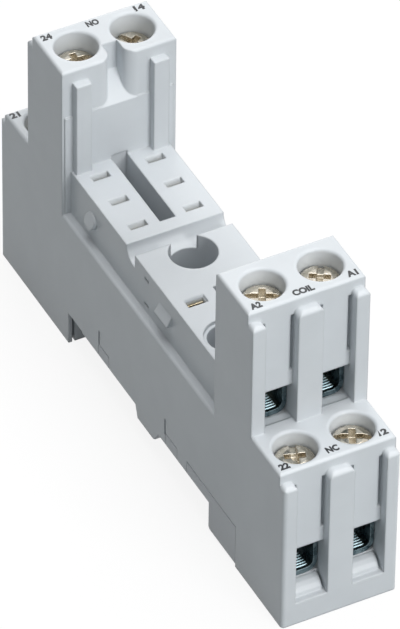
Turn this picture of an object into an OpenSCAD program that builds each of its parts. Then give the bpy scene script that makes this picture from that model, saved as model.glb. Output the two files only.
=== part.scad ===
// Two-pole relay socket for a 35 mm rail: a tall moulding with a terminal tower and a lower
// terminal tier at each end and the relay's seat between the towers.
// X runs across the two poles, Y along the rail's width, Z up from the surface it stands on.
// The origin is at the middle of the underside. Lengths along the socket are measured from
// its coil end, at the -Y side, and shifted to the origin once, in module socket_frame.

/* [Body] */
// Width across the two poles
body_w = 15.5; // [15.3:0.1:17]
// Length from end face to end face
body_l = 75.5; // [75:0.1:77]
// Height of the two lower terminal tiers
tier_h = 23.9; // [23.6:0.1:24.4]
// Height of the coil terminal tower
coil_tower_h = 42.4; // [42:0.1:43]
// Height of the contact terminal tower
contact_tower_h = 42.2; // [42:0.1:43]
// How far the ribs stand proud of the wire entry panels
rib_proud = 1.3; // [1.1:0.05:1.4]
// Radius of the upright corners of the two end faces
corner_r = 0.5; // [0.3:0.1:0.8]
// Radius of the upper edges
edge_r = 0.4; // [0.2:0.1:0.6]

/* [Relay seat] */
// Width of the relay's deck
deck_w = 13.2; // [12.8:0.1:13.6]
// Height of the deck that the relay stands on
deck_z = 26.3; // [26:0.1:26.8]
// Height of the shelf along each side of the deck
shelf_z = 19.7; // [19.4:0.1:20]
// Distance between the two rows of relay pins
pin_row_gap = 7.5; // [7.4:0.1:7.6]
// Distance from one contact pin to the next
pin_pitch = 5; // [4.9:0.1:5.1]
// Distance from the coil pins to the nearest contact pins
coil_pin_gap = 15.15; // [15:0.05:15.2]

/* [Terminals] */
// Distance from the middle of the socket to each screw
pole_x = 3.82; // [3.8:0.01:3.85]
// Diameter of the wells over the screws
well_d = 5.45; // [5.4:0.05:5.5]
// Diameter of the screw heads
head_d = 5.0; // [4.8:0.1:5.1]
// Nominal thread diameter of the screws
thread_d = 2.9; // [2.8:0.05:2.95]
// Width of a wire entry
entry_w = 4.3; // [4.2:0.05:4.35]

/* [Rail] */
// Height of the face that sits on the rail
rail_seat_z = 4.7; // [4.6:0.1:5]
// Length of the recess that takes the rail
rail_gap = 37.7; // [37.5:0.1:38]
// Reach of the sprung latch under the rail
latch_reach = 3.2; // [3:0.1:3.4]

/* [Hidden] */
$fn = 48;
cut = 0.5;                            // overrun of a cut past the face it opens
bite = 0.2;                           // how deep an added form sinks into its carrier
LEFT = -1;
RIGHT = 1;

// Stations along the socket
coil_face_y = 8.6;                    // rib fronts of the coil tower
coil_back_y = 18.0;
contact_front_y = 58.45;              // face of the contact tower towards the relay
contact_face_y = body_l - 7.75;       // rib fronts of the contact tower

// Terminal clamps
clamp_low_z = 5.3;                    // underside of an open cage in a tier
clamp_high_z = 23.8;                  // underside of an open cage in a tower
entry_low_top = 11.05;
entry_high_top = 29.05;
entry_foot_z = 3.4;                   // foot of the wire entries in the tiers
tier_setback = 4.9;                   // rib front to screw, in a tier
tower_setback = 5.25;                 // rib front to screw, in a tower
cage_w = 4.1;
cage_setback = 2.5;                   // rib front to the front of the cage
cage_h = 7.4;
cage_wall = 0.55;
cage_floor = 0.75;
cage_fold_r = 1.5;                    // outer radius of the folds beside the floor
cage_top = 1.5;                       // thickness of the tapped top of the cage
cage_lift = 3.5;                      // travel of the cage, seven turns of the screw
bar_z = 4.9;                          // cage underside to contact bar underside
bar_t = 0.8;
head_h = 1.9;
thread_play = 0.05;
well_gap = 0.05;

// A bank is one row of two terminals: rib front, direction into the body, top, foot of the
// wire entries, top of the wire entries, underside of the open cages, rib front to screws,
// depth of the screw heads under the top
NEAR_TIER = [0, 1, tier_h, entry_foot_z, entry_low_top, clamp_low_z, tier_setback, 1.45];
COIL_TOWER = [coil_face_y, 1, coil_tower_h, tier_h, entry_high_top, clamp_high_z, tower_setback, 1.8];
CONTACT_TOWER =
    [contact_face_y, -1, contact_tower_h, tier_h, entry_high_top, clamp_high_z, tower_setback, 2.3];
FAR_TIER = [body_l, -1, tier_h, entry_foot_z, entry_low_top, clamp_low_z, tier_setback, 1.8];
BANKS = [NEAR_TIER, COIL_TOWER, CONTACT_TOWER, FAR_TIER];
function face_y(b) = b[0];
function inward(b) = b[1];
function top_z(b) = b[2];
function foot_z(b) = b[3];
function entry_top(b) = b[4];
function clamp_z(b) = b[5];
function setback(b) = b[6];
function head_drop(b) = b[7];
function head_seat_z(b) = top_z(b) - head_drop(b) - head_h;
function bar_top_z(b) = clamp_z(b) + bar_z + bar_t;
function in_tower(b) = clamp_z(b) == clamp_high_z;
function cage_l(b) = 2 * (setback(b) - cage_setback);

// Relay pins
pin_x = pin_row_gap / 2;
coil_pin_y = 30.55;
nc_pin_y = coil_pin_y + coil_pin_gap;
com_pin_y = nc_pin_y + pin_pitch;
no_pin_y = com_pin_y + pin_pitch;
contact_w = 2.2;
duct_w = 2.5;                         // width of the ducts that hold the contacts
duct_top_z = 12;                      // top of the duct under the whole seat
high_duct_top_z = 16;
high_bar_z = 14;                      // level of the coil and NO contacts under the deck
fork_top_z = 24.7;                    // top of the fork's front prong, under the deck
fork_tip_z = 25.6;                    // top of its rear prong, in the pin slot
chamber_top_z = 25;
riser_t = 0.5;                        // thickness of a contact's upright in a tower
riser_gap = 0.15;                     // clearance between the cage and that upright

// Relay seat
mount_hole_y = 38.6;
mount_head_r = 3.05;
mount_hole_r = 1.6;
mount_seat_z = 13;
seat_groove_y = 41.1;                 // wall of the groove across the deck
seat_groove_r = 2.0;
slot_w = 2.35;                        // width of a pin slot across the socket
module_hole_y = 23.6;
module_hole_x = 3.2;
module_hole_r = 2.4;

// Rail side
rail_near_y = 19.0;
rail_far_y = rail_near_y + rail_gap;
side_foot_z = 2.9;                    // underside of the feet in the middle of the rail
hook_w = 9.0;
hook_reach = 2.2;
hook_top_z = 3.4;
cover_start_y = 12.0;
cover_end_y = 48.5;
cover_w = 11.6;
cover_top_z = 6.6;
cover_gap = 0.05;
cover_foot_z = 0.5;                   // underside of the cover's foot by the rail
cover_tabs = [[cover_start_y, 24.8], [27.3, 30.4], [45.6, cover_end_y]];
peg_stations = [27, 45];              // snap pegs of the cover, along the middle
peg_d = 2.4;
latch_w = 8.0;
latch_z = 0.9;
latch_top_z = 2.8;
latch_nose_z = 3.4;
latch_play = 0.1;
latch_throw = 2.0;
nose_space_y = 52.9;                  // raised ceiling over the latch's nose
nose_space_z = 4.9;

// ---------- helpers ----------

module socket_frame() {
    translate([0, -body_l / 2, 0])
        children();
}

// Extrudes an outline drawn in Y and Z across the socket, centred
module across(w) {
    rotate([90, 0, 90])
        linear_extrude(w, center = true)
            children();
}

// Extrudes an outline drawn in X and Z along Y, from y0 to y1
module along(y0, y1) {
    translate([0, y1, 0])
        rotate([90, 0, 0])
            linear_extrude(y1 - y0)
                children();
}

module block(lo, hi) {
    translate(lo)
        cube(hi - lo);
}

// Repeats a form for the two poles, mirrored about the middle
module both_sides() {
    for (side = [0, 1])
        mirror([side, 0, 0])
            children();
}

// Puts a form drawn at a terminal bank's rib front, with +Y into the body, at that bank
module at_bank(b) {
    translate([0, face_y(b), 0])
        mirror([0, inward(b) < 0 ? 1 : 0, 0])
            children();
}

module pin_station(side, y) {
    translate([side * pin_x, y, 0])
        children();
}

// ---------- housing ----------

// Outline of the moulding in Y and Z, with the wire entry panels at their recessed plane
module side_outline() {
    polygon([
        [0, 0],
        [0, entry_foot_z],
        [rib_proud, entry_foot_z],
        [rib_proud, tier_h],
        [coil_face_y + rib_proud, tier_h],
        [coil_face_y + rib_proud, coil_tower_h],
        [coil_back_y, coil_tower_h],
        [coil_back_y, shelf_z],
        [contact_front_y, shelf_z],
        [contact_front_y, contact_tower_h],
        [contact_face_y - rib_proud, contact_tower_h],
        [contact_face_y - rib_proud, tier_h],
        [body_l - rib_proud, tier_h],
        [body_l - rib_proud, entry_foot_z],
        [body_l, entry_foot_z],
        [body_l, 0],
        [rail_far_y, 0],
        [rail_far_y, nose_space_z],
        [nose_space_y, nose_space_z],
        [nose_space_y, rail_seat_z],
        [38.5, rail_seat_z],
        [37.9, side_foot_z],
        [33.7, side_foot_z],
        [33.2, side_foot_z + 0.3],
        [32.3, rail_seat_z],
        [cover_start_y, rail_seat_z],
        [cover_start_y, 0]
    ]);
}

// Plan of the whole socket with its rounded corners
module plan_outline() {
    for (sx = [-1, 1], sy = [0, 1])
        translate([sx * (body_w / 2 - corner_r), sy * body_l + (1 - 2 * sy) * corner_r])
            circle(corner_r);
    translate([-body_w / 2, corner_r])
        square([body_w, body_l - 2 * corner_r]);
    translate([corner_r - body_w / 2, 0])
        square([body_w - 2 * corner_r, body_l]);
}

// A rectangle with two rounded upper corners, from x0 to x1 and z0 to z1
module round_top(x0, x1, z0, z1, r) {
    translate([x0, z0])
        square([x1 - x0, z1 - z0 - r]);
    translate([x0 + r, z1 - r])
        circle(r);
    translate([x1 - r, z1 - r])
        circle(r);
    translate([x0 + r, z1 - 2 * r])
        square([x1 - x0 - 2 * r, 2 * r]);
}

// The three ribs of a bank: a profile rounded at its upper front edge, cut to three widths
module ribs(b) {
    rib_top = top_z(b) - 1.5;
    rib_foot = foot_z(b) - bite;
    front_r = 0.6;
    crown_r = 0.9;
    entry_in = pole_x - entry_w / 2;
    entry_out = pole_x + entry_w / 2;
    at_bank(b)
        intersection() {
            across(body_w)
                round_top(0, 2 * (rib_proud + bite), rib_foot, rib_top, front_r);
            along(0, rib_proud + bite) {
                round_top(-entry_in, entry_in, rib_foot, rib_top, crown_r);
                round_top(entry_out, body_w / 2, rib_foot, rib_top, front_r);
                round_top(-body_w / 2, -entry_out, rib_foot, rib_top, front_r);
            }
        }
}

// The deck between the towers, with its quarter-round groove
module deck() {
    difference() {
        across(deck_w)
            translate([coil_back_y - bite, shelf_z - bite])
                square([contact_front_y - coil_back_y + 2 * bite, deck_z - shelf_z + bite]);
        intersection() {
            translate([0, seat_groove_y + 0.3, deck_z])
                rotate([0, 90, 0])
                    cylinder(r = seat_groove_r, h = deck_w + 2 * cut, center = true);
            block([-deck_w, seat_groove_y, shelf_z], [deck_w, contact_front_y, coil_tower_h]);
        }
    }
}

// Upright pads on the contact tower that the end of the relay rests against
module tower_pads() {
    pad_in = 4.2;
    pad_out = 6.3;
    pad_proud = 1.1;
    pad_top = 40.2;
    both_sides()
        block([pad_in, contact_front_y - pad_proud, deck_z - bite],
              [pad_out, contact_front_y + bite, pad_top]);
}

// Lower half of the contact tower's face, which stands a hair proud of the upper half
module tower_step() {
    step_proud = 0.15;
    step_in = 0.35;
    block([step_in - body_w / 2, contact_front_y - step_proud, shelf_z - bite],
          [body_w / 2 - step_in, contact_front_y + bite, 35.05]);
}

// Wedge and peg on each side of the deck for the relay's retaining clip
module clip_catches() {
    wedge_y = [31.3, 34.6];
    wedge_z = [22.75, 24.15];
    peg_y = 52.4;
    peg_z = 23.1;
    peg_r = 1.15;
    reach = 0.8;
    side = deck_w / 2;
    both_sides() {
        along(wedge_y[0], wedge_y[1])
            polygon([
                [side - bite, wedge_z[0]],
                [side + reach, wedge_z[0]],
                [side, wedge_z[1]],
                [side - bite, wedge_z[1]]
            ]);
        intersection() {
            translate([side - bite, peg_y, peg_z])
                rotate([0, 90, 0])
                    cylinder(r = peg_r, h = reach + bite);
            along(peg_y - 2 * peg_r, peg_y + 2 * peg_r)
                polygon([
                    [side - cut, peg_z - 2 * peg_r],
                    [side + reach, peg_z - 2 * peg_r],
                    [side + reach, peg_z - 0.5 * peg_r],
                    [side + 0.2 * reach, peg_z + peg_r],
                    [side - cut, peg_z + peg_r]
                ]);
        }
    }
}

// Ledge at the foot of a tier's wire entry, curved up and inwards to lead the wire
module wire_lips(b) {
    lip_gap = 0.25;
    at_bank(b)
        for (side = [LEFT, RIGHT])
            translate([side * pole_x, 0, 0])
                across(entry_w - 2 * lip_gap)
                    polygon([
                        [0.8, foot_z(b) - bite],
                        [0.95, foot_z(b) + 0.5],
                        [1.3, foot_z(b) + 1.0],
                        [1.8, foot_z(b) + 1.4],
                        [2.5, foot_z(b) + 1.6],
                        [2.5, foot_z(b) - bite]
                    ]);
}

// Rounding of a well's mouth, drawn with the top of the terminal at z = 0
module well_rim() {
    r = 0.4;
    rotate_extrude()
        difference() {
            translate([well_d / 2 - 0.1, -r])
                square([r + 0.1, r + cut]);
            translate([well_d / 2 + r, -r])
                circle(r);
        }
}

// Everything that a bank's two terminals take out of the housing
module clamp_space(b) {
    panel_back = 2.4;
    cavity_end = setback(b) + cage_l(b) / 2 + 0.15;
    cavity_top = clamp_z(b) + cage_h + cage_lift + 0.7;
    at_bank(b)
        for (side = [LEFT, RIGHT])
            translate([side * pole_x, 0, 0]) {
                block([-entry_w / 2, panel_back, clamp_z(b) - 0.15],
                      [entry_w / 2, cavity_end, cavity_top]);
                block([-entry_w / 2, rib_proud - bite, foot_z(b) - (in_tower(b) ? 0.2 : 0)],
                      [entry_w / 2, panel_back + bite, entry_top(b)]);
                translate([0, setback(b), top_z(b)])
                    well_rim();
                translate([0, setback(b), head_seat_z(b) - well_gap]) {
                    cylinder(d = well_d, h = coil_tower_h);
                    mirror([0, 0, 1])
                        cylinder(d = thread_d + 0.6, h = head_seat_z(b) - cavity_top + cut);
                }
            }
}

// Narrow grooves down both edges of each wire entry panel
module panel_grooves(b) {
    groove_w = 0.45;
    groove_d = 0.7;
    groove_foot = entry_top(b) + 2.25;
    at_bank(b)
        for (side = [LEFT, RIGHT], edge = [-1, 1])
            translate([side * pole_x + edge * (entry_w - groove_w) / 2, 0, 0])
                block([-groove_w / 2, rib_proud - bite, groove_foot],
                      [groove_w / 2, rib_proud + groove_d, top_z(b) - 2.4]);
}

// Ducts and chambers for the contacts, open to the cover at the underside
module contact_space() {
    half = duct_w / 2;
    low_end = tier_setback + cage_l(NEAR_TIER) / 2;
    high_end = tower_setback + cage_l(COIL_TOWER) / 2 + riser_gap + riser_t + 0.15;
    chamber = 1.45;
    coil_riser_y = coil_face_y + high_end;
    no_riser_y = contact_face_y - high_end;
    for (side = [LEFT, RIGHT])
        translate([side * pin_x, 0, 0]) {
            block([-half, low_end, cover_top_z - cut], [half, body_l - low_end, duct_top_z]);
            block([-half, coil_riser_y - riser_t - 0.5, duct_top_z - bite],
                  [half, coil_pin_y + chamber + 0.3, high_duct_top_z]);
            block([-half, no_pin_y - chamber - 0.3, duct_top_z - bite],
                  [half, no_riser_y + riser_t + 0.5, high_duct_top_z]);
            block([-half, coil_riser_y - riser_t - 0.5, high_duct_top_z - bite],
                  [half, coil_riser_y, clamp_high_z + bar_z + bar_t + 0.7]);
            block([-half, no_riser_y, high_duct_top_z - bite],
                  [half, no_riser_y + riser_t + 0.5, clamp_high_z + bar_z + bar_t + 0.7]);
            for (y = [coil_pin_y, nc_pin_y, com_pin_y, no_pin_y])
                block([-half, y - chamber, duct_top_z - bite], [half, y + chamber, chamber_top_z]);
        }
}

// Slots in the deck for the relay's pins, each with a sloped lead-in at its rear
module pin_slots() {
    front = 0.23;
    rear = 0.55;
    lead = 0.88;
    lead_z = deck_z - 0.8;
    for (side = [LEFT, RIGHT]) {
        for (y = [nc_pin_y, com_pin_y, no_pin_y])
            pin_station(side, y)
                across(slot_w)
                    polygon([
                        [-front, chamber_top_z - cut],
                        [rear, chamber_top_z - cut],
                        [rear, lead_z],
                        [lead, deck_z],
                        [lead, deck_z + cut],
                        [-front, deck_z + cut]
                    ]);
        pin_station(side, coil_pin_y) {
            block([-slot_w / 2, -rear, chamber_top_z - cut], [slot_w / 2, rear, deck_z + cut]);
            across(slot_w + 0.3)
                polygon([
                    [-rear, deck_z - 0.3],
                    [rear, deck_z - 0.3],
                    [rear + 0.25, deck_z],
                    [rear + 0.25, deck_z + cut],
                    [-rear - 0.15, deck_z + cut],
                    [-rear - 0.15, deck_z]
                ]);
        }
    }
}

// Screw hole, plug-in module holes and the slots along the middle of the deck
module deck_openings() {
    middle_slot_w = 2.15;
    middle_slot_y = 45.35;
    middle_slot_z = 14;
    step_r = 2.8;
    step_z = 0.5;
    translate([0, mount_hole_y, 0]) {
        translate([0, 0, mount_seat_z])
            cylinder(r = mount_head_r, h = deck_z);
        cylinder(r = mount_hole_r, h = deck_z);
        block([2.6, -1.5, 23.4], [3.1, -0.9, 25.6]);
    }
    both_sides()
        translate([module_hole_x, module_hole_y, 0]) {
            translate([0, 0, high_duct_top_z + 1.2])
                cylinder(r = module_hole_r, h = deck_z);
            translate([0, 0, deck_z - step_z])
                cylinder(r = step_r, h = 1);
        }
    block([-middle_slot_w / 2, middle_slot_y, middle_slot_z],
          [middle_slot_w / 2, contact_front_y, deck_z + cut]);
    block([-0.8, 31.1, 22], [0.8, 31.95, deck_z + cut]);
}

// Plan of the notch in the contact tower: a throat whose mouth flares in two quarter rounds
module notch_plan() {
    throat_w = 2.1;
    flare_r = 1.4;
    depth = 2.8;
    translate([-throat_w / 2, contact_front_y - cut])
        square([throat_w, depth + cut]);
    difference() {
        translate([-throat_w / 2 - flare_r, contact_front_y - cut])
            square([throat_w + 2 * flare_r, flare_r + cut]);
        for (side = [LEFT, RIGHT])
            translate([side * (throat_w / 2 + flare_r), contact_front_y + flare_r])
                circle(flare_r);
    }
}

// The notch between the contact tower's two wells, with its sloped floor
module tower_notch() {
    floor_z = 35.05;
    floor_rise = 3.5;
    reach = 3.3;
    intersection() {
        linear_extrude(coil_tower_h + cut)
            notch_plan();
        across(body_w)
            polygon([
                [contact_front_y - cut, floor_z - cut],
                [contact_front_y, floor_z],
                [contact_front_y + reach, floor_z + floor_rise],
                [contact_front_y + reach, coil_tower_h + cut],
                [contact_front_y - cut, coil_tower_h + cut]
            ]);
    }
}

// Small recesses and bevels down the two long sides
module side_details() {
    side = deck_w / 2;
    edge = body_w / 2;
    slit_w = 0.35;
    slit_d = 0.8;
    both_sides() {
        for (z = [20.6, 24.6])
            block([side - 0.4, 37.4, z], [side + cut, 38.5, z + 0.45]);
        for (y = [30.4, cover_end_y - slit_w])
            block([edge - slit_d, y, cover_top_z - cut], [edge + cut, y + slit_w, 8.7]);
    }
}

// Space for the base cover: a pocket for its plate and windows for its side tabs
module cover_space() {
    block([-cover_w / 2 - cover_gap, cover_start_y, -cut],
          [cover_w / 2 + cover_gap, cover_end_y, cover_top_z]);
    for (tab = cover_tabs)
        block([-body_w, tab[0], -cut], [body_w, tab[1], cover_top_z]);
    for (y = peg_stations)
        translate([0, y, cover_top_z - cut])
            cylinder(d = peg_d + 0.2, h = 4);
}

// Guide for the rail latch along the underside, open at the end face
module latch_channel() {
    mouth = latch_w - 1.6;
    half = latch_w / 2 + latch_play;
    relief_x = [6.9, 7.25];
    block([-half, rail_far_y - cut, latch_z - latch_play],
          [half, body_l + cut, latch_top_z + latch_play]);
    block([-mouth / 2, rail_far_y - cut, -cut], [mouth / 2, body_l + cut, latch_z]);
    both_sides()
        block([relief_x[0], rail_far_y - cut, -cut], [relief_x[1], rail_far_y + 1, rail_seat_z]);
}

module housing_cuts() {
    for (b = BANKS) {
        clamp_space(b);
        panel_grooves(b);
    }
    contact_space();
    pin_slots();
    deck_openings();
    tower_notch();
    side_details();
    cover_space();
    latch_channel();
}

// Rounds the outline's upper corner at (y, z); side is the direction to the outside
module outline_corner(y, z, side) {
    difference() {
        translate([side > 0 ? y - edge_r : y - cut, z - edge_r])
            square([edge_r + cut, edge_r + cut]);
        translate([y - side * edge_r, z - edge_r])
            circle(edge_r);
    }
}

module rounded_side_outline() {
    difference() {
        side_outline();
        outline_corner(rib_proud, tier_h, -1);
        outline_corner(coil_face_y + rib_proud, coil_tower_h, -1);
        outline_corner(coil_back_y, coil_tower_h, 1);
        outline_corner(contact_front_y, contact_tower_h, -1);
        outline_corner(contact_face_y - rib_proud, contact_tower_h, 1);
        outline_corner(body_l - rib_proud, tier_h, 1);
    }
}

// Sections across the socket with rounded upper edges, one for each height of the body
module rounded_sections() {
    half = body_w / 2;
    y1 = coil_face_y + rib_proud;
    y2 = contact_face_y - rib_proud;
    along(-cut, y1)
        round_top(-half, half, -cut, tier_h, edge_r);
    along(y1, coil_back_y)
        round_top(-half, half, -cut, coil_tower_h, edge_r);
    along(coil_back_y, contact_front_y)
        round_top(-half, half, -cut, shelf_z, edge_r);
    along(contact_front_y, y2)
        round_top(-half, half, -cut, contact_tower_h, edge_r);
    along(y2, body_l + cut)
        round_top(-half, half, -cut, tier_h, edge_r);
}

module housing_solid() {
    intersection() {
        across(body_w)
            rounded_side_outline();
        linear_extrude(coil_tower_h + cut)
            plan_outline();
        rounded_sections();
    }
    intersection() {
        union() {
            for (b = BANKS)
                ribs(b);
        }
        linear_extrude(coil_tower_h + cut)
            plan_outline();
    }
    deck();
    tower_pads();
    tower_step();
    clip_catches();
}

module housing() {
    color("#d3d5db")
        socket_frame() {
            difference() {
                housing_solid();
                housing_cuts();
            }
            wire_lips(NEAR_TIER);
            wire_lips(FAR_TIER);
        }
}

// ---------- base cover ----------

// Fixed hook that the rail's edge is pushed under
module cover_hook() {
    across(hook_w)
        polygon([
            [rail_near_y - 1, cover_foot_z],
            [rail_near_y + 0.4, cover_foot_z],
            [rail_near_y + hook_reach, hook_top_z - 1],
            [rail_near_y + hook_reach, hook_top_z - 0.2],
            [rail_near_y + hook_reach - 0.2, hook_top_z],
            [rail_near_y - 1, hook_top_z]
        ]);
}

// Foot of the cover beside the rail, with its lower edge broken
module cover_foot() {
    across(body_w)
        polygon([
            [cover_start_y + cover_gap, cover_foot_z],
            [rail_near_y - 0.3, cover_foot_z],
            [rail_near_y, cover_foot_z + 0.3],
            [rail_near_y, rail_seat_z + bite],
            [cover_start_y + cover_gap, rail_seat_z + bite]
        ]);
}

module base_cover() {
    edge = body_w / 2;
    bevel = 0.25;
    top = cover_top_z - cover_gap;
    color("#d0d2d8")
        socket_frame()
            difference() {
                union() {
                    block([-cover_w / 2, cover_start_y + cover_gap, rail_seat_z],
                          [cover_w / 2, cover_end_y - cover_gap, top]);
                    for (tab = cover_tabs)
                        along(tab[0] + cover_gap, tab[1] - cover_gap)
                            polygon([
                                [-edge, rail_seat_z],
                                [edge, rail_seat_z],
                                [edge, top - bevel],
                                [edge - bevel, top],
                                [bevel - edge, top],
                                [-edge, top - bevel]
                            ]);
                    cover_foot();
                    cover_hook();
                    for (y = peg_stations)
                        translate([0, y, top - bite])
                            cylinder(d = peg_d, h = 3.2);
                }
                translate([0, mount_hole_y, 0])
                    cylinder(r = mount_hole_r + 0.2, h = 10);
                for (x = [-4.2, 0, 4.2])
                    block([x - 1.4, cover_start_y + 1.5, -cut],
                          [x + 1.4, rail_near_y - 2.4, rail_seat_z]);
            }
}

// ---------- rail latch ----------

module rail_latch() {
    body_half = latch_w / 2;
    nose_y = rail_far_y - latch_reach;
    tail_y = body_l - latch_throw;
    rib_half = body_half - 1.2;
    rib_z = 0.4;
    pull_w = 3.6;
    color("#c9ccd2")
        socket_frame()
            difference() {
                union() {
                    across(2 * body_half)
                        polygon([
                            [rail_far_y + 0.3, latch_z],
                            [nose_y, latch_nose_z - 1],
                            [nose_y, latch_nose_z - 0.2],
                            [nose_y + 0.2, latch_nose_z],
                            [nose_y + 0.8, latch_nose_z],
                            [nose_y + 1, latch_top_z],
                            [tail_y, latch_top_z],
                            [tail_y, latch_z]
                        ]);
                    block([-rib_half, rail_far_y + 3, rib_z], [rib_half, tail_y, latch_z + bite]);
                }
                block([-pull_w / 2, tail_y - 2.6, -1], [pull_w / 2, tail_y - 1.4, latch_top_z + 1]);
                for (x = [-2, 2])
                    block([x - 0.5, rail_far_y + 4, -1], [x + 0.5, tail_y - 5, latch_top_z + 1]);
            }
}

// ---------- terminal screws ----------

// Turned screw blank with a crowned head, drawn with the underside of its head at z = 0
module screw_blank(shank) {
    head_r = head_d / 2;
    edge_h = 1.25;
    rotate_extrude()
        polygon([
            [0, -shank],
            [thread_d / 2 - 0.3, -shank],
            [thread_d / 2, -shank + 0.3],
            [thread_d / 2, 0],
            [head_r, 0],
            [head_r, edge_h],
            [head_r - 0.15, edge_h + 0.25],
            [head_r - 0.5, head_h - 0.15],
            [head_r - 1.1, head_h],
            [0, head_h]
        ]);
}

module terminal_screw(side, b, turn) {
    slot_w = 0.8;
    slot_d = 0.9;
    cross_w = 0.85;
    cross_l = 2.6;
    cross_d = 1.4;
    color("#c9c2b2")
        socket_frame()
            at_bank(b)
                translate([side * pole_x, setback(b), head_seat_z(b)])
                    rotate([0, 0, turn])
                        difference() {
                            screw_blank(head_seat_z(b) - bar_top_z(b) - 0.05);
                            translate([0, 0, head_h - slot_d / 2 + cut / 2])
                                cube([head_d + 1, slot_w, slot_d + cut], center = true);
                            for (a = [0, 90])
                                rotate([0, 0, a])
                                    translate([0, 0, head_h - cross_d / 2 + cut / 2])
                                        cube([cross_l, cross_w, cross_d + cut], center = true);
                        }
}

// ---------- clamp cages ----------

// Outline of the cage from the front, closed at the top and folded round at both sides
module cage_outline() {
    half = cage_w / 2;
    translate([cage_fold_r - half, cage_fold_r])
        circle(cage_fold_r);
    translate([half - cage_fold_r, cage_fold_r])
        circle(cage_fold_r);
    translate([cage_fold_r - half, 0])
        square([cage_w - 2 * cage_fold_r, cage_h]);
    translate([-half, cage_fold_r])
        square([cage_w, cage_h - cage_fold_r]);
}

module cage_window() {
    half = cage_w / 2 - cage_wall;
    r = cage_fold_r - cage_wall;
    top = cage_h - cage_top;
    for (x = [r - half, half - r])
        translate([x, cage_floor + r])
            circle(r);
    translate([r - half, cage_floor])
        square([2 * (half - r), top - cage_floor]);
    translate([-half, cage_floor + r])
        square([2 * half, top - cage_floor - r]);
}

// Folded steel cage: tapped top, two walls and a toothed floor that lifts the wire
module clamp_cage(side, b) {
    l = cage_l(b);
    tooth_h = 0.14;
    tooth_pitch = 0.42;
    tooth_w = 1.9;
    color("#9aa4a8")
        socket_frame()
            at_bank(b)
                translate([side * pole_x, setback(b), clamp_z(b)]) {
                    difference() {
                        along(-l / 2, l / 2)
                            cage_outline();
                        along(-l, l)
                            cage_window();
                        translate([0, 0, cage_h - cage_top - cage_lift - cut])
                            cylinder(r = thread_d / 2 + thread_play, h = cage_h);
                    }
                    for (i = [0:5])
                        translate([0, 0.35 + tooth_pitch * (i + 0.5) - l / 2, cage_floor])
                            across(tooth_w)
                                polygon([[-0.2, -0.1], [0.2, -0.1], [0.03, tooth_h], [-0.03, tooth_h]]);
                }
}

// ---------- contacts ----------

// One prong of the fork for a relay pin: distance from the pin, share of the prong's height
PRONG = [[1.2, 0], [1.2, 0.3], [0.5, 0.75], [0.5, 1], [0.25, 1], [0.2, 0.75], [0.85, 0.3], [0.85, 0]];
function prong(pin, base, top, side, order) =
    [for (i = order) [pin + side * PRONG[i][0], base + PRONG[i][1] * (top - base)]];
function fork(pin, base, rear) = concat(
    prong(pin, base, rear > 0 ? fork_tip_z : fork_top_z, 1, [0:7]),
    prong(pin, base, rear > 0 ? fork_top_z : fork_tip_z, -1, [7:-1:0])
);

// Strip from the clamp to the pin fork; pin is the distance from the rib front to the pin
module contact_outline(b, pin) {
    tip = 2.9;
    end = pin + 1.4;
    tongue_z = clamp_z(b) + bar_z;
    tongue = [[tip, tongue_z + bar_t], [tip, tongue_z]];
    riser = setback(b) + cage_l(b) / 2 + riser_gap;
    low = high_bar_z;
    if (in_tower(b))
        polygon(concat(
            tongue,
            [[riser, tongue_z], [riser, low], [end, low], [end, low + bar_t]],
            fork(pin, low + bar_t, inward(b)),
            [[riser + riser_t, low + bar_t], [riser + riser_t, tongue_z + bar_t]]
        ));
    else
        polygon(concat(
            tongue,
            [[end, tongue_z], [end, tongue_z + bar_t]],
            fork(pin, tongue_z + bar_t, inward(b))
        ));
}

module contact(side, b, pin_y) {
    color("#c9b184")
        socket_frame()
            translate([side * pin_x, 0, 0])
                at_bank(b)
                    across(contact_w)
                        contact_outline(b, abs(pin_y - face_y(b)));
}

// ---------- pieces ----------

module screw_22() { terminal_screw(LEFT, NEAR_TIER, 72); }
module screw_12() { terminal_screw(RIGHT, NEAR_TIER, -26); }
module screw_a2() { terminal_screw(LEFT, COIL_TOWER, -27); }
module screw_a1() { terminal_screw(RIGHT, COIL_TOWER, 58); }
module screw_24() { terminal_screw(LEFT, CONTACT_TOWER, 4); }
module screw_14() { terminal_screw(RIGHT, CONTACT_TOWER, 64); }
module screw_21() { terminal_screw(LEFT, FAR_TIER, 50); }
module screw_11() { terminal_screw(RIGHT, FAR_TIER, 5); }

module cage_22() { clamp_cage(LEFT, NEAR_TIER); }
module cage_12() { clamp_cage(RIGHT, NEAR_TIER); }
module cage_a2() { clamp_cage(LEFT, COIL_TOWER); }
module cage_a1() { clamp_cage(RIGHT, COIL_TOWER); }
module cage_24() { clamp_cage(LEFT, CONTACT_TOWER); }
module cage_14() { clamp_cage(RIGHT, CONTACT_TOWER); }
module cage_21() { clamp_cage(LEFT, FAR_TIER); }
module cage_11() { clamp_cage(RIGHT, FAR_TIER); }

module contact_22() { contact(LEFT, NEAR_TIER, nc_pin_y); }
module contact_12() { contact(RIGHT, NEAR_TIER, nc_pin_y); }
module contact_a2() { contact(LEFT, COIL_TOWER, coil_pin_y); }
module contact_a1() { contact(RIGHT, COIL_TOWER, coil_pin_y); }
module contact_24() { contact(LEFT, CONTACT_TOWER, no_pin_y); }
module contact_14() { contact(RIGHT, CONTACT_TOWER, no_pin_y); }
module contact_21() { contact(LEFT, FAR_TIER, com_pin_y); }
module contact_11() { contact(RIGHT, FAR_TIER, com_pin_y); }

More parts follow.
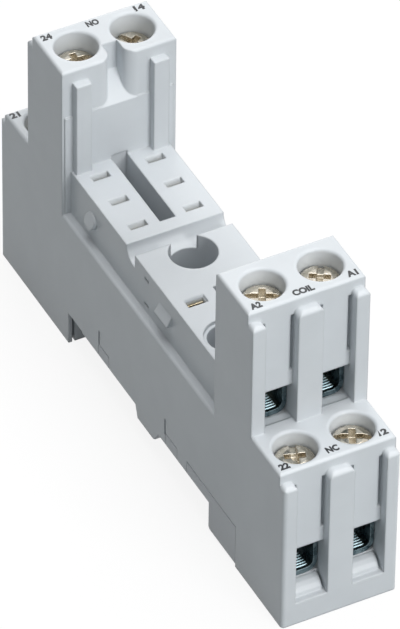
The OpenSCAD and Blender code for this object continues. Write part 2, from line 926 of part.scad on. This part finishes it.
housing();
base_cover();
rail_latch();
screw_22();
screw_12();
screw_a2();
screw_a1();
screw_24();
screw_14();
screw_21();
screw_11();
cage_22();
cage_12();
cage_a2();
cage_a1();
cage_24();
cage_14();
cage_21();
cage_11();
contact_22();
contact_12();
contact_a2();
contact_a1();
contact_24();
contact_14();
contact_21();
contact_11();
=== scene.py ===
# %% [markdown]
# # Relay socket for a 35 mm rail
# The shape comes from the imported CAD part. This script gives it its surfaces, its printed
# marks, its light and its camera. The units are metres and the frame is the part's own:
# X across the poles, Y along the socket, Z up.

import bpy
from mathutils import Matrix, Vector
from mathutils.bvhtree import BVHTree


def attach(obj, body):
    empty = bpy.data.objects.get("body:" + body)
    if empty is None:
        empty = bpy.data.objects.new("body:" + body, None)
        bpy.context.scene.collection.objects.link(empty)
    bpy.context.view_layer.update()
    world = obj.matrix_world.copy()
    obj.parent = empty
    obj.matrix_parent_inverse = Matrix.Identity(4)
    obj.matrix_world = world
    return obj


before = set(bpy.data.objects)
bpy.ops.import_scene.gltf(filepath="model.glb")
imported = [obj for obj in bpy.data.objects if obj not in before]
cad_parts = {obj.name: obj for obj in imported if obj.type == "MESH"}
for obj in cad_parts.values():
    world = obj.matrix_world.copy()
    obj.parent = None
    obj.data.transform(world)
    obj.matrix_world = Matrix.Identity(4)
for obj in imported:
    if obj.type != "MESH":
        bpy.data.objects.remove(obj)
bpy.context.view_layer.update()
MM = 0.001
scene = bpy.context.scene

# %% [markdown]
# ## Shader helper
# Shader maths reads as Python: a Socket stands for a node's output, and its operators add
# Math nodes. Every other node comes from Shader.node.

# %% Shader helper
class Socket:
    """One output of a node, which can be added, subtracted and multiplied."""

    def __init__(self, shader, out):
        self.shader = shader
        self.out = out

    def maths(self, operation, *values):
        return self.shader.node("ShaderNodeMath", {"operation": operation}, dict(enumerate(values)))

    def __add__(self, other):
        return self.maths("ADD", self, other)

    __radd__ = __add__

    def __sub__(self, other):
        return self.maths("SUBTRACT", self, other)

    def __rsub__(self, other):
        return self.maths("SUBTRACT", other, self)

    def __mul__(self, other):
        return self.maths("MULTIPLY", self, other)

    __rmul__ = __mul__


class Shader:
    """The node tree of a material or of the world."""

    def __init__(self, owner):
        owner.use_nodes = True
        self.owner = owner
        self.tree = owner.node_tree
        self.tree.nodes.clear()

    def node(self, kind, settings=None, inputs=None, output=0):
        n = self.tree.nodes.new(kind)
        for key, value in (settings or {}).items():
            setattr(n, key, value)
        for key, value in (inputs or {}).items():
            if isinstance(value, Socket):
                self.tree.links.new(value.out, n.inputs[key])
            else:
                n.inputs[key].default_value = value
        return Socket(self, n.outputs[output]) if n.outputs else None

    def noise(self, scale, detail=2.0, roughness=0.5):
        place = self.node("ShaderNodeTexCoord", output="Object")
        return self.node("ShaderNodeTexNoise", {},
                         {"Vector": place, "Scale": scale, "Detail": detail,
                          "Roughness": roughness}, "Fac")

    def span(self, value, low, high):
        """Stretches the middle of a noise over the range from low to high."""
        return self.node("ShaderNodeMapRange", {},
                         {"Value": value, "From Min": 0.35, "From Max": 0.65,
                          "To Min": low, "To Max": high}, "Result")

    def tint(self, value, dark, light):
        """A colour that drifts from dark to light with the noise."""
        return self.node("ShaderNodeMix", {"data_type": "RGBA"},
                         {"Factor": self.span(value, 0.0, 1.0),
                          "A": (*dark, 1.0), "B": (*light, 1.0)}, "Result")

    def bump(self, height, distance, strength, soft_edge):
        """A bump over edges that a bevel node rounds in the shading."""
        edge = self.node("ShaderNodeBevel", {"samples": 8}, {"Radius": soft_edge}, "Normal")
        return self.node("ShaderNodeBump", {},
                         {"Height": height, "Distance": distance, "Strength": strength,
                          "Normal": edge}, "Normal")

    def seen(self):
        """One for the camera's own rays and for those that gloss or glass sends on."""
        rays = [self.node("ShaderNodeLightPath", output=ray)
                for ray in ("Is Camera Ray", "Is Glossy Ray", "Is Transmission Ray")]
        return rays[0].maths("MAXIMUM", rays[0].maths("MAXIMUM", rays[0], rays[1]), rays[2])

    def principled(self, **inputs):
        names = {key.replace("_", " "): value for key, value in inputs.items()}
        surface = self.node("ShaderNodeBsdfPrincipled", {}, names)
        self.node("ShaderNodeOutputMaterial", {}, {"Surface": surface})
        return self.owner


def new_shader(name):
    return Shader(bpy.data.materials.new(name))


# %% [markdown]
# ## Moulded plastic
# The mouldings have a fine spark-eroded texture about a tenth of a millimetre across. The
# colour drifts by a hundredth or two, as pigment does in a thick moulding. The edges are
# rounded in the shading.

# %% Plastic materials
GRAIN_SCALE = 9000.0
GRAIN_DEPTH = 0.02 * MM
PIGMENT_SCALE = 160.0


def plastic(name, dark, light, roughness, soft_edge):
    s = new_shader(name)
    grain = s.noise(GRAIN_SCALE, roughness=0.6)
    return s.principled(
        Base_Color=s.tint(s.noise(PIGMENT_SCALE, 3.0), dark, light),
        Roughness=s.span(grain, roughness - 0.05, roughness + 0.05),
        Specular_IOR_Level=0.45,
        Normal=s.bump(grain, GRAIN_DEPTH, 0.35, soft_edge))


housing_grey = plastic("housing_plastic", (0.565, 0.598, 0.625), (0.590, 0.623, 0.650),
                       0.42, 0.35 * MM)
cover_grey = plastic("cover_plastic", (0.555, 0.580, 0.610), (0.580, 0.605, 0.635),
                     0.45, 0.18 * MM)
latch_grey = plastic("latch_plastic", (0.500, 0.525, 0.555), (0.530, 0.555, 0.585),
                     0.45, 0.18 * MM)
print("plastics:", housing_grey.name, cover_grey.name, latch_grey.name)

# %% [markdown]
# ## Metals
# The screws are nickel plated, the cages are folded from sheet with a dark blue zinc finish,
# and the contacts are bright brass. Stains change the gloss, and fine scratches bend it.

# %% Metal materials
SCRATCH_DEPTH = 0.01 * MM
SCRATCHES_PER_STAIN = 9.0


def metal(name, dark, light, roughness, scale, soft_edge):
    s = new_shader(name)
    stain = s.noise(scale, 4.0, 0.6)
    return s.principled(
        Base_Color=s.tint(stain, dark, light),
        Metallic=1.0,
        Roughness=s.span(stain, roughness - 0.06, roughness + 0.08),
        Normal=s.bump(s.noise(scale * SCRATCHES_PER_STAIN), SCRATCH_DEPTH, 0.4, soft_edge))


nickel = metal("screw_nickel", (0.56, 0.51, 0.42), (0.78, 0.73, 0.64), 0.24, 700.0, 0.14 * MM)
zinc = metal("cage_zinc", (0.070, 0.110, 0.125), (0.190, 0.250, 0.270), 0.28, 900.0, 0.10 * MM)
brass = metal("contact_brass", (0.66, 0.55, 0.36), (0.82, 0.73, 0.54), 0.28, 600.0, 0.08 * MM)

FINISH = {"housing": housing_grey, "base": cover_grey, "rail": latch_grey,
          "screw": nickel, "cage": zinc, "contact": brass}
for name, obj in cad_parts.items():
    for place in obj.material_slots:
        place.material = FINISH[name.split("_")[0]]
print("materials on", len(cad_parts), "nodes")

# %% [markdown]
# ## Printed marks
# The terminals are numbered the usual way for a change-over relay. Each mark is a thin film of
# ink from the built-in font, set to its width and laid down on the moulding under it, so that
# it follows the rounded rim of a well.

# %% Terminal marks
LENGTH = 75.5
INK = 0.02 * MM
LETTER_HEIGHT = 1.05 * MM
LETTER_WEIGHT = 0.052
OVERHEAD = 0.1
# Words, place across and along the socket from its coil end, and width, in millimetres
MARKS = [
    ("22", -6.55, 2.50, 1.30), ("NC", -0.08, 2.66, 1.60), ("12", 6.55, 2.55, 1.30),
    ("A2", -6.25, 10.88, 1.45), ("COIL", -0.06, 10.78, 2.75), ("A1", 6.46, 10.89, 1.40),
    ("24", -6.35, 65.45, 1.40), ("NO", -0.16, 65.38, 1.65), ("14", 6.23, 65.46, 1.40),
    ("21", -6.79, 73.38, 1.30), ("11", 6.79, 73.38, 1.20),
]

ink = new_shader("mark_ink")
mark_ink = ink.principled(
    Base_Color=ink.tint(ink.noise(3000.0), (0.010, 0.011, 0.013), (0.028, 0.030, 0.034)),
    Roughness=ink.span(ink.noise(2500.0), 0.45, 0.60))

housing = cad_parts["housing"]
moulding = BVHTree.FromPolygons([v.co for v in housing.data.vertices],
                                [p.vertices for p in housing.data.polygons])


def letters(name, words):
    """The mesh of the words, in the built-in font, one unit high in its em square."""
    curve = bpy.data.curves.new(name, "FONT")
    curve.body = words
    curve.extrude = INK / 2
    curve.offset = LETTER_WEIGHT
    curve.resolution_u = 4
    text = bpy.data.objects.new(name, curve)
    scene.collection.objects.link(text)
    depsgraph = bpy.context.evaluated_depsgraph_get()
    mesh = bpy.data.meshes.new_from_object(text.evaluated_get(depsgraph))
    bpy.data.objects.remove(text)
    return mesh


def mark(words, x, y, width):
    """Words centred at x and y and dropped from overhead on the moulding."""
    name = "mark_" + words.lower()
    mesh = letters(name, words)
    low = Vector(min(v.co[i] for v in mesh.vertices) for i in range(2))
    high = Vector(max(v.co[i] for v in mesh.vertices) for i in range(2))
    middle = (low + high) / 2
    scale_x = width * MM / (high.x - low.x)
    scale_y = LETTER_HEIGHT / (high.y - low.y)
    for v in mesh.vertices:
        place = Vector((x * MM + (v.co.x - middle.x) * scale_x,
                        (y - LENGTH / 2) * MM + (v.co.y - middle.y) * scale_y, OVERHEAD))
        surface = moulding.ray_cast(place, Vector((0, 0, -1)))[0]
        v.co = (place.x, place.y, surface.z + v.co.z + INK / 2)
    mesh.materials.clear()
    mesh.materials.append(mark_ink)
    piece = bpy.data.objects.new(name, mesh)
    scene.collection.objects.link(piece)
    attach(piece, "body")
    return piece


pieces = [mark(*row) for row in MARKS]
print("marks:", len(pieces), "faces:", sum(len(p.data.polygons) for p in pieces))

# %% [markdown]
# ## Floor
# The floor is a plain pale sheet. To the camera it is nearly all its own white, with a faint
# shadow of the socket, and to everything else it is a quiet grey that throws little light up.

# %% Floor
FLOOR_HALF = 4.0
FLOOR_Z = -0.05 * MM
FLOOR_GLOW = 0.88
SHEET_LIT = (0.24, 0.27, 0.28, 1.0)
SHEET_SEEN = (0.90, 0.90, 0.90, 1.0)
WHITE = (1.0, 1.0, 1.0, 1.0)
s = new_shader("floor_white")
seen = s.seen()
sheet = s.node("ShaderNodeBsdfDiffuse", {}, {"Color": s.node(
    "ShaderNodeMix", {"data_type": "RGBA"},
    {"Factor": seen, "A": SHEET_LIT, "B": SHEET_SEEN}, "Result")})
glow = s.node("ShaderNodeEmission", {}, {"Color": WHITE, "Strength": 1.0})
s.node("ShaderNodeOutputMaterial", {}, {"Surface": s.node(
    "ShaderNodeMixShader", {}, {0: seen * FLOOR_GLOW, 1: sheet, 2: glow})})
floor_mesh = bpy.data.meshes.new("floor")
floor_mesh.from_pydata([(x * FLOOR_HALF, y * FLOOR_HALF, FLOOR_Z)
                        for x, y in ((-1, -1), (1, -1), (1, 1), (-1, 1))],
                       [], [(0, 1, 2, 3)])
floor_mesh.materials.append(s.owner)
floor = bpy.data.objects.new("floor", floor_mesh)
scene.collection.objects.link(floor)
print("floor:", floor.dimensions)

# %% [markdown]
# ## Light
# A large soft box hangs overhead, a smaller one stands in front, a little to the right, and a
# weak one fills the far end. The world is white to the camera and a plain weak light to the
# object.

# %% Light
WORLD_LEVEL = 0.20
AIM = Vector((0, 0, 0.02))

scene.world = bpy.data.worlds.new("studio")
w = Shader(scene.world)
strength = w.node("ShaderNodeMapRange", {},
                  {"Value": w.seen(), "To Min": WORLD_LEVEL, "To Max": 1.0}, "Result")
w.node("ShaderNodeOutputWorld", {}, {"Surface": w.node(
    "ShaderNodeBackground", {}, {"Color": WHITE, "Strength": strength})})


def soft_box(name, place, width, power):
    light = bpy.data.lights.new(name, "AREA")
    light.size = width
    light.energy = power
    lamp = bpy.data.objects.new(name, light)
    scene.collection.objects.link(lamp)
    lamp.location = place
    lamp.rotation_euler = (AIM - Vector(place)).to_track_quat("-Z", "Y").to_euler()


soft_box("overhead", (0.06, -0.06, 0.70), 0.60, 4.3)
soft_box("front", (0.16, -0.70, 0.34), 0.40, 3.7)
soft_box("rear", (0.26, 0.70, 0.28), 0.40, 1.9)
print("world and three soft boxes")

# %% [markdown]
# ## Camera
# A long lens looks down on the socket from its coil end, a little from the left. The three
# directions are the camera's own right, up and back.

# %% Camera
camera_data = bpy.data.cameras.new("camera")
camera_data.lens = 453.83
camera_data.sensor_width = 36.0
camera_data.clip_start = 0.05
camera_data.clip_end = 20.0
camera = bpy.data.objects.new("camera", camera_data)
scene.collection.objects.link(camera)
right = Vector((0.889067, -0.457666, 0.010102))
up = Vector((0.299620, 0.598444, 0.743029))
back = Vector((-0.346105, -0.657576, 0.669183))
turn = Matrix((right, up, back)).transposed().to_4x4()
camera.matrix_world = Matrix.Translation((-0.33172, -0.63136, 0.65911)) @ turn
scene.camera = camera
scene.view_settings.view_transform = "Standard"
print("camera", camera.location, "lens", camera_data.lens)
